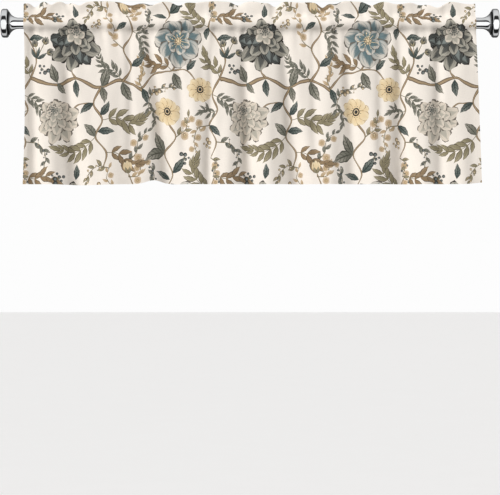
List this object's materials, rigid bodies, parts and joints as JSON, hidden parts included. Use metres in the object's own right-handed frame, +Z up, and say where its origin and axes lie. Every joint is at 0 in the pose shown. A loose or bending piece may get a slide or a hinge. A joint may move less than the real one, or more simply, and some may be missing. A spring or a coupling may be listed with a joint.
{
  "type": "window valance on curtain rod",
  "caption": "Short gathered window valance of floral printed cotton with a ruffled heading and a rod pocket, on a round chrome rod with trumpet finials.",
  "frame": {"origin": "on the rod's axis, half way along it", "axes": "+X along the rod, -Y out of the cloth's printed face towards the room, +Z up"},
  "size_m": [1.2622, 0.073, 0.4676],
  "materials": {
    "printed_cotton": "matte plain weave, floral print on the face",
    "rod_chrome": "polished",
    "finial_chrome": "polished"
  },
  "bodies": {
    "root": {"valance": "printed_cotton", "rod": "rod_chrome", "finial_left": "finial_chrome", "finial_right": "finial_chrome"}
  },
  "joints": []
}
